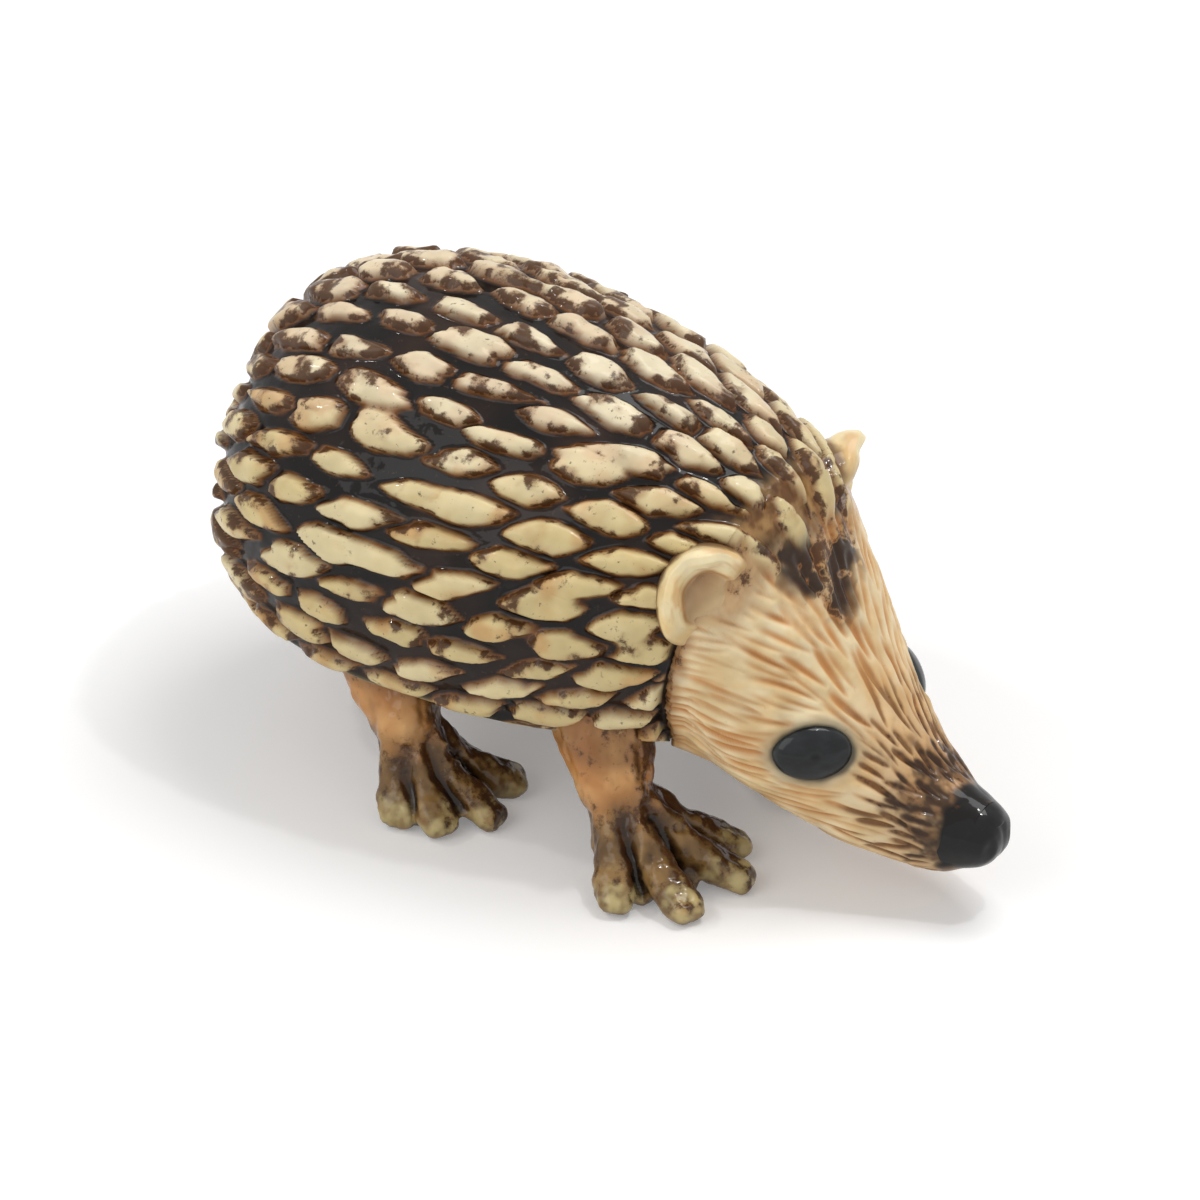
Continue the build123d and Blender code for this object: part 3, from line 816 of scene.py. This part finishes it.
def nose_piece():
    """The nose: a black cap that flows out of the snout, with two nostrils and a faint middle groove."""
    rows, columns = NOSE_GRID
    # It follows the snout from the first of these places to the last, and then closes to a tip
    outline = [(15.5, -0.06), (15.75, 0.0), (16.0, 0.04), (16.35, 0.07)]
    points = [(x, (head_values(x)[1] + head_values(x)[2]) / 2 + more) for x, more in outline]
    points += [(16.85, 1.42), (17.35, 1.12), (17.66, 0.66), (17.78, 0.0)]
    curve, _ = smooth_curve(points, (1, -0.6), (0, -1), rows)
    x, t = np.repeat(curve[:, 0], columns), np.tile(ring_angles(columns), rows)
    radius = np.repeat(np.maximum(curve[:, 1], 0), columns)
    tip_height = head_values(16.3)[0]
    middle = np.where(x > 16.3, tip_height, head_values(x)[0])
    flat = np.stack([x, radius * np.sin(t), middle + radius * np.cos(t) * 0.97], 1)
    way = unit(flat - np.array((15.9, 0, tip_height)))
    sink = 0.05 * bell(flat[:, 1], 0.22) * ramp(x, 16.6, 17.4) * (way[:, 2] < 0.4)
    for side in (-1, 1):
        gap = flat - np.array((17.25, side * 0.72, middle[-1] - 0.05))
        reach = np.sqrt(gap[:, 0] ** 2 + (gap[:, 1] / 0.8) ** 2 + (gap[:, 2] / 1.2) ** 2)
        sink += 0.2 * bell(reach, 0.26) - 0.05 * bell(reach - 0.5, 0.16)
    sink += 0.03 * rough(flat, 0.8, 94)
    sheen = ramp(rough(flat, 0.6, 95), 0, 1)
    colour = glazed(NOSE, (NOSE_SHEEN, sheen), (GROOVE, ramp(x, 16.0, 15.7) * 0.8))
    faces = grid_faces(rows, columns, True) + fan_faces(0, columns, len(flat))
    vertices = np.concatenate([flat - way * sink[:, None], [(15.5, 0, middle[0])]])
    colour = np.concatenate([colour, [GROOVE]])
    make_piece("nose_cap", vertices, faces, colour, dark_glaze, "nose")


nose_piece()


def blurred(heights, reach):
    """The height field, smoothed over that many cells to each side."""
    weights = np.hanning(2 * reach + 3)[1:-1]
    for _ in range(2):
        padded = np.pad(heights, ((reach, reach), (0, 0)), mode="edge")
        heights = sum(w * padded[k:k + len(heights)] for k, w in enumerate(weights / weights.sum())).T
    return heights


def height_at(heights, spots, a, u):
    """The height field at the points (a, u), from the four cells round each."""
    pitch = spots[1] - spots[0]
    x = np.clip((a - spots[0]) / pitch, 0, len(spots) - 1.001)
    y = np.clip((u - spots[0]) / pitch, 0, len(spots) - 1.001)
    i, j = x.astype(int), y.astype(int)
    x, y = x - i, y - j
    low = heights[i, j] * (1 - x) + heights[i + 1, j] * x
    return low * (1 - y) + (heights[i, j + 1] * (1 - x) + heights[i + 1, j + 1] * x) * y


def ground_under(centre, ahead, up, outward, spots, ground):
    """The height of coat and head over the ear's own plane, widened and smoothed."""
    under = np.full((len(spots), len(spots)), np.nan)
    for i, a in enumerate(spots):
        for j, u in enumerate(spots):
            start = centre + a * ahead + u * up + EAR_REACH * outward
            hits = [tree.ray_cast(Vector(start), Vector(-outward))[3] for tree in ground]
            reach = min((hit for hit in hits if hit is not None and hit < 9), default=None)
            if reach is not None:
                under[i, j] = EAR_REACH - reach
    under = np.where(np.isnan(under), np.nanmin(under), under)
    for axis in (0, 1):
        under = np.maximum(under, np.maximum(np.roll(under, 1, axis), np.roll(under, -1, axis)))
    return blurred(np.maximum(under, blurred(under, 3)), 2)


def ear_piece(centre, ahead, up, outward, side, side_name, ground):
    """An ear: a thick curled rim round a hollow. It stands out of the coat and runs out towards the eye."""
    rows, columns = EAR_GRID
    centre = centre - 0.4 * up
    spots = np.linspace(-3, 3, 49)
    under = ground_under(centre, ahead, up, outward, spots, ground)

    r, t = np.repeat(np.linspace(0, 1, rows), columns), np.tile(ring_angles(columns), rows)
    rim = ramp(np.abs(wrapped(t - radians(-40))), radians(52), radians(102))
    point, low_end = bell(wrapped(t - radians(96)), 0.4), bell(wrapped(t - radians(-122)), 0.5)
    # The profile from the hollow's middle over the rim and down its outer side
    knots, outs, heights = np.array([
        (0.00, 0.00, 0.08), (0.20, 0.30, 0.07), (0.34, 0.50, 0.12), (0.44, 0.60, 0.50), (0.53, 0.68, 0.88),
        (0.62, 0.82, 1.05), (0.71, 0.97, 0.98), (0.80, 1.07, 0.62), (0.89, 1.10, 0.05), (1.00, 1.02, -0.90),
    ]).T
    out_share, height = np.interp(r, knots, outs), np.interp(r, knots, heights)
    tall = 0.8 + 0.1 * np.cos(t - radians(120)) + 0.7 * point
    height = np.where(height > EAR_FLOOR, EAR_FLOOR + (height - EAR_FLOOR) * tall * rim, height)
    height -= (1 - rim) * (0.36 * ramp(out_share, 0.22, 0.62) + 0.3 * ramp(out_share, 0.6, 0.9))
    reach = out_share * (EAR_RADIUS + 0.08 * rim + 0.3 * low_end)
    a, u = reach * np.cos(t), reach * np.sin(t)
    smooth_share = ramp(r, 0.36, 0.56) * rim
    base = mix(height_at(under, spots, a, u), height_at(blurred(under, 9), spots, a, u), smooth_share)
    vertices = centre + np.stack([a, u, base + height], 1) @ np.array((ahead, up, outward))
    # The rim leans up and back a little, most at the point
    vertices += np.array((-0.1, 0, 0.25)) * (rim * ramp(height, 0.3, 1.2))[:, None]
    mirror = np.array((1, side, 1))
    vertices += 0.06 * np.stack([rough(vertices * mirror, 1.1, 100 + k) for k in range(3)], 1)

    spot = vertices * mirror
    # The hollow is painted a touch darker, and a brown-beige painted shade deepens towards the upper back,
    # under the tall part of the rim
    hollow = np.maximum(ramp(r, 0.5, 0.3), 1 - rim)
    rim_shadow = ramp(np.cos(t - radians(140)) * out_share, -0.5, 0.5)
    streak = ramp(rough(np.stack([t * 1.4, r * 9, r * 0], 1), 1.0, 106), 0.05, 0.7)
    low_back = ramp(r, 0.72, 0.86) * ramp(height + 0.25 * rough(spot, 0.5, 107), 0.62, 0.15)
    colour = glazed(
        EAR,
        (PALE_EAR, ramp(noise(spot, 0.9, 105) + 0.8 * (height - 0.6), -0.5, 0.6)),
        (EAR_HOLLOW, hollow),
        (EAR_HOLLOW_SHADE, hollow * (0.25 + 0.6 * rim_shadow)),
        (EAR_CREASE, bell(r - 0.41, 0.035) * rim * 0.75),
        (EAR_STREAK, streak * ramp(r, 0.38, 0.5) * rim * 0.55),
        (EAR_BACK, low_back * rim * 0.85),
    )
    last = (rows - 1) * columns
    faces = grid_faces(rows, columns, True) + fan_faces(last, columns, rows * columns)
    vertices = np.concatenate([vertices, [vertices[last:].mean(0)]])
    colour = np.concatenate([colour, [DARK_BROWN]])
    node = "ear_" + side_name
    make_piece("curled_" + node, vertices, faces, colour, face_glaze, node)


def surface_tree(piece):
    """The piece's surface in millimetres, for finding what lies under a point."""
    points = [vertex.co / MM for vertex in piece.data.vertices]
    return BVHTree.FromPolygons(points, [list(face.vertices) for face in piece.data.polygons])


ground = [surface_tree(coat), surface_tree(head)]
for plane, side, side_name in zip(EARS, (-1, 1), ("right", "left")):
    ear_piece(*plane, side, side_name, ground)


def ball_chain(start, end, start_radius, end_radius, step=BALL_STEP):
    """Balls from start to end, as centres and radii."""
    start, end = np.array(start, float), np.array(end, float)
    count = max(2, int(np.linalg.norm(end - start) / step) + 1)
    shares = np.linspace(0, 1, count)
    grow = end_radius - start_radius
    return [(start + share * (end - start), start_radius + share * grow) for share in shares]


def fused(balls, smoothing):
    """One closed skin over many balls, as vertices and faces in millimetres."""
    work = bmesh.new()
    for centre, radius in balls:
        place = Matrix.Translation(Vector(centre))
        bmesh.ops.create_icosphere(work, subdivisions=3, radius=radius, matrix=place)
    mesh = bpy.data.meshes.new("balls")
    work.to_mesh(mesh)
    work.free()
    body = new_object("balls", mesh)
    remesh = body.modifiers.new("skin", "REMESH")
    remesh.mode = "VOXEL"
    remesh.voxel_size = LEG_VOXEL
    smooth = body.modifiers.new("smooth", "SMOOTH")
    smooth.factor = 0.5
    smooth.iterations = smoothing
    whole = body.evaluated_get(bpy.context.evaluated_depsgraph_get()).to_mesh()
    vertices = np.zeros(len(whole.vertices) * 3)
    whole.vertices.foreach_get("co", vertices)
    faces = [list(f.vertices) for f in whole.polygons]
    bpy.data.objects.remove(body)
    return vertices.reshape(-1, 3), faces


def vertex_normals(vertices, quads):
    """Unit vertex normals of a mesh of four-sided faces."""
    a, b, c, d = (vertices[corner] for corner in quads.T)
    across = np.cross(c - a, d - b)
    normals = np.zeros_like(vertices)
    for corner in quads.T:
        np.add.at(normals, corner, across)
    return unit(normals)


def hollowness(vertices, normals, quads, rounds):
    """How far each vertex lies under the average of its surroundings, in millimetres."""
    near, far = quads.T.ravel(), np.roll(quads, -1, 1).T.ravel()
    degree = np.bincount(near, minlength=len(vertices)).astype(float)
    average = vertices.copy()
    for _ in range(rounds):
        total = np.stack([np.bincount(near, line[far], len(vertices)) for line in average.T], 1)
        average = 0.5 * average + 0.5 * total / np.maximum(degree, 1)[:, None]
    return np.sum((average - vertices) * normals, 1)


def segment_gap(points, start, end):
    """Distance of points from a segment, and the share along it."""
    way = end - start
    share = np.clip((points - start) @ way / (way @ way), 0, 1)
    return np.linalg.norm(points - start - share[:, None] * way, axis=1), share


def leg_skin(top, ankle, fan, reach):
    """A right leg's fused skin, and the shin, knuckle and tip of each of its four webbed toes."""
    balls = ball_chain(top + (-0.1, 0.5, 1.6), ankle + (-0.1, 0.15, 0.9), 2.45, 1.5)
    balls += ball_chain(top + (0.5, 0.2, 0.4), ankle + (0.3, -0.1, 0.6), 1.7, 1.3)
    heel = ankle + (0.2, -0.1, -2.0)
    balls += ball_chain(ankle + (0, 0, 0.4), heel, 1.15, 0.85)
    toes = []
    for angle, share in fan:
        turn, length = radians(angle), reach * share
        way = np.array((cos(turn), -sin(turn), 0))
        across = np.array((way[1], -way[0], 0))
        shin = ankle + way * 0.5 + np.array((0, 0, 0.75))
        knuckle, joint = ankle + way * length * 0.5, ankle + way * length * 0.78
        tip = ankle + way * (length + 0.02)
        knuckle[2], joint[2], tip[2] = 1.62, 0.98, 0.56
        balls += ball_chain(shin, knuckle, 0.85, 0.86, TOE_STEP)
        balls += ball_chain(knuckle, joint, 0.86, 0.7, TOE_STEP)
        for offset in (-0.22, 0.22):
            balls += ball_chain(joint + across * offset, tip + across * offset, 0.7, 0.54, TOE_STEP)
        toes.append((shin, knuckle, tip))
    # The palm, and the web between the toes
    balls += ball_chain(ankle + (0.4, -0.1, -1.6), ankle + (0.9, -0.4, -1.9), 1.2, 1.1)
    for first, second in zip(toes[:-1], toes[1:]):
        middle = (first[2] + second[2]) / 2 * 0.5 + (first[1] + second[1]) / 2 * 0.4 + ankle * 0.1
        middle[2] = 0.45
        balls += ball_chain((ankle[0] + 0.4, ankle[1] - 0.2, 1.0), middle, 0.95, 0.62, 0.2)
    return fused(balls, 4), toes


def leg_form(top, ankle, fan, reach):
    """A right leg with its colours and its layer of stains and painted shade: tendons run from the shin into
    the toes, over dark valleys of pooled glaze and painted shade, with a painted highlight on upward ridges.
    """
    (vertices, faces), toes = leg_skin(np.array(top), np.array(ankle), fan, reach)
    quads = np.array(faces)
    normals = vertex_normals(vertices, quads)

    gaps, along = [], []
    for shin, knuckle, tip in toes:
        upper, share_upper = segment_gap(vertices, shin, knuckle)
        lower, share_lower = segment_gap(vertices, knuckle, tip)
        gaps.append(np.minimum(upper, lower))
        along.append(np.where(upper < lower, share_upper * 0.5, 0.5 + share_lower * 0.5))
    gaps, along = np.array(gaps), np.array(along)
    nearest = np.sort(gaps, 0)
    place = np.take_along_axis(along, np.argmin(gaps, 0)[None], 0)[0]
    on_foot = ramp(vertices[:, 2], ankle[2] + 1.6, ankle[2] + 0.2)
    valley = (1 - ramp(nearest[1] - nearest[0], 0.0, 0.5)) * on_foot * ramp(normals[:, 2], -0.3, 0.2)
    dimples = ramp(rough(vertices, 0.9, 119), 0.25, 0.7) * on_foot * ramp(place, 0.75, 0.4)
    ribs = rough(vertices * np.array((1, 1, 0.4)), 0.7, 120)
    lift = 0.12 * ribs + 0.1 * rough(vertices, 1.4, 121) + 0.04 * rough(vertices, 0.4, 118)
    lift -= 0.22 * valley + 0.16 * dimples
    vertices = vertices + normals * lift[:, None]
    vertices[:, 2] = np.maximum(vertices[:, 2], 0)
    normals = vertex_normals(vertices, quads)
    hollow = hollowness(vertices, normals, quads, 30)

    height, up_share = vertices[:, 2], normals[:, 2]
    upper_leg = ramp(height + 0.8 * rough(vertices, 1.5, 123), 2.6, 4.4)
    foot = mix(FOOT, PALE_FOOT, ramp(rough(vertices, 0.8, 125), -0.6, 0.7))
    shin = mix(SHIN, PALE_SHIN, ramp(rough(vertices, 1.3, 122), -0.5, 0.7))
    # painted shade on the side that faces inward and forward
    shaded_side = ramp(-normals[:, 1] - 0.5 * normals[:, 0], 0.2, -0.5)
    # Hollows and the valleys between toes hold pooled dark glaze and painted shade
    depth = ramp(hollow + 0.03 * rough(vertices, 0.5, 127), -0.02, 0.1)
    depth = np.maximum(depth, 0.9 * valley)
    # painted highlight on convex ridges that face up
    ridge_highlight = ramp(hollow, -0.06, -0.18) * ramp(up_share, -0.3, 0.4)
    tips = ramp(place + 0.28 * rough(vertices, 0.45, 124), 0.76, 1.14) * ramp(up_share, -0.9, 0.0)
    tips = tips * (1 - 0.7 * depth)
    # painted shadow of the coat's skirt on the top of the leg
    skirt_shadow = ramp(height, SKIRT_HEIGHT - 0.7, SKIRT_HEIGHT)
    # Painted shade on the inner front side, in the hollows and creases over pooled glaze, and under the
    # skirt; painted highlight on the upward ridges
    colour = glazed(
        foot,
        (shin, upper_leg),
        (LEG_SIDE_SHADE, shaded_side * 0.85 * ramp(rough(vertices, 1.1, 126), -1.0, 0.2)),
        (HOLLOW_GLAZE_AND_SHADE, depth * 0.88 * (1 - 0.5 * upper_leg)),
        (CREASE_GLAZE_AND_SHADE, ramp(hollow + 0.05 * valley, 0.08, 0.22) * 0.9 * on_foot),
        (RIDGE_HIGHLIGHT, ridge_highlight * 0.8 * on_foot),
        (TOE_TIP, tips * 0.8),
        (SKIRT_SHADOW, skirt_shadow * 0.5),
    )
    # The layer of stains and shade takes painted shade from the inner front side, the hollows and the
    # skirt's shadow, and is lightened on the highlighted ridges
    stain_and_shade = 0.24 + 0.13 * on_foot + 0.2 * shaded_side + 0.1 * depth - 0.3 * ridge_highlight - 0.16 * tips
    stain_and_shade += 0.1 * skirt_shadow + 0.14 * rough(vertices, 0.9, 128) - 0.6 * ramp(hollow, 0.06, 0.2)
    return vertices, faces, colour, stain_and_shade


# Top, ankle, each toe's angle and share of the reach, and the reach
LEGS = {
    "front": ((1.6, -4.7, 5.5), (3.4, -5.8, 2.9), [(56, 0.80), (20, 1.12), (-17, 1.25), (-44, 1.22)], 4.2),
    "rear": ((-8.5, -5.1, 5.5), (-6.2, -6.4, 2.9), [(62, 0.70), (27, 1.00), (-2, 1.28), (-38, 1.40)], 3.2),
}
for end_name, sizes in LEGS.items():
    vertices, faces, colour, stain_and_shade = leg_form(*sizes)
    for side, side_name in ((1, "right"), (-1, "left")):
        make_piece(
            f"{end_name}_{side_name}_foot", vertices * np.array((1, side, 1)), faces, colour, leg_glaze,
            f"{end_name}_{side_name}_leg", stain_and_shade,
        )


def belly_material():
    """Dark glossy glaze with tan clouds."""
    material, tree, shader, place = new_material("belly_glaze")
    cloud = noise_texture(tree, place, 2.2, 5)
    colours = tree.nodes.new("ShaderNodeValToRGB")
    for element, position, tint in zip(colours.color_ramp.elements, (0.4, 0.62), (BELLY, BELLY_CLOUD)):
        element.position, element.color = position, (*tint, 1)
    feed(tree, colours, {"Fac": cloud})
    bumps = {"Strength": 0.6, "Distance": 0.15 * MM, "Height": cloud}
    feed(tree, shader, {
        "Base Color": colours.outputs["Color"], "Normal": add_node(tree, "ShaderNodeBump", bumps)["Normal"],
        "Roughness": 0.35, "Coat Weight": 0.5, "Coat Roughness": 0.06,
    })
    return material


# The belly is the solid model's own body with a glaze
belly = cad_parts["body"]
belly_glaze = belly_material()
if belly.data.materials:
    for index in range(len(belly.data.materials)):
        belly.material_slots[index].link = "OBJECT"
        belly.material_slots[index].material = belly_glaze
else:
    belly.data.materials.append(belly_glaze)


def seen_directly(tree):
    """1 for rays that show the background: from the camera, in reflections and through glass."""
    path = add_node(tree, "ShaderNodeLightPath")
    value = path["Is Camera Ray"]
    for name in ("Is Glossy Ray", "Is Transmission Ray"):
        value = add_node(tree, "ShaderNodeMath", {0: value, 1: path[name]}, operation="MAXIMUM")["Value"]
    return value


def floor_material():
    """White with the object's shadow. Its glow rises where the lamps fade, to meet the white backdrop."""
    material, tree, shader, place = new_material("floor_white")
    distance = add_node(tree, "ShaderNodeVectorMath", {0: place}, operation="LENGTH")["Value"]
    glow = {0: seen_directly(tree), 1: map_range(tree, distance, 0.035, 0.2, 0.2, 0.7)}
    feed(tree, shader, {
        "Base Color": (0.86, 0.86, 0.86, 1), "Roughness": 0.8, "Specular IOR Level": 0.2,
        "Emission Color": (1, 1, 1, 1),
        "Emission Strength": add_node(tree, "ShaderNodeMath", glow, operation="MULTIPLY")["Value"],
    })
    return material


FLOOR_HALF = 1.5
floor_mesh = bpy.data.meshes.new("floor")
corners = [(x * FLOOR_HALF, y * FLOOR_HALF, 0) for x, y in ((-1, -1), (1, -1), (1, 1), (-1, 1))]
floor_mesh.from_pydata(corners, [], [(0, 1, 2, 3)])
floor_mesh.materials.append(floor_material())
floor = new_object("floor", floor_mesh)
floor.location.z = -0.02 * MM

# The world lights the object plainly, and is white where it is seen
world = bpy.data.worlds.new("studio")
bpy.context.scene.world = world
world.use_nodes = True
tree = world.node_tree
strength = map_range(tree, seen_directly(tree), 0, 1, 0.42, 1.0)
feed(tree, tree.nodes["Background"], {"Color": (1, 1, 1, 1), "Strength": strength})


def put_at(thing, place, rotation):
    """Puts a lamp or a camera at place, in millimetres."""
    thing.rotation_mode = "QUATERNION"
    thing.location, thing.rotation_quaternion = place * MM, rotation


# Soft square lamps: place, size and power. They shine at the figurine's middle
LAMP_TARGET = Vector((0, 0, 8))
LAMPS = {
    "key": ((30, 60, 200), 110, 0.19),
    "fill": ((-50, -170, 130), 150, 0.12),
    "glint": ((60, 20, 200), 10, 0.045),
    "glint_rear": ((-120, -60, 160), 10, 0.035),
}
for name, (place, size, power) in LAMPS.items():
    data = bpy.data.lights.new(name, "AREA")
    data.shape, data.size, data.energy = "SQUARE", size * MM, power
    turned = (LAMP_TARGET - Vector(place)).to_track_quat("-Z", "Y")
    put_at(new_object(name, data), Vector(place), turned)

azimuth, elevation, roll = radians(31.0), radians(31.5), radians(2.4)
focal, picture, pixels_per_mm, sensor_width = 7000.0, 1200, 25.0, 36.0
back = Vector((sin(azimuth) * cos(elevation), -cos(azimuth) * cos(elevation), sin(elevation)))
level_right = Vector((cos(azimuth), sin(azimuth), 0))
level_up = back.cross(level_right)
right = cos(roll) * level_right + sin(roll) * level_up
up = -sin(roll) * level_right + cos(roll) * level_up
# The body's middle is seen 63 pixels left of and 103 above the middle of the picture
spot = Vector((-4.3, 0, 11.6)) + back * (focal / pixels_per_mm)
spot = spot - right * (-63 / pixels_per_mm) + up * (-103 / pixels_per_mm)
camera_data = bpy.data.cameras.new("camera")
camera_data.sensor_width = sensor_width
camera_data.lens = focal / picture * sensor_width
camera_data.clip_start, camera_data.clip_end = 0.01, 10
camera = new_object("camera", camera_data)
put_at(camera, spot, Matrix((right, up, back)).transposed().to_quaternion())
bpy.context.scene.camera = camera
bpy.context.scene.view_settings.view_transform = "Standard"
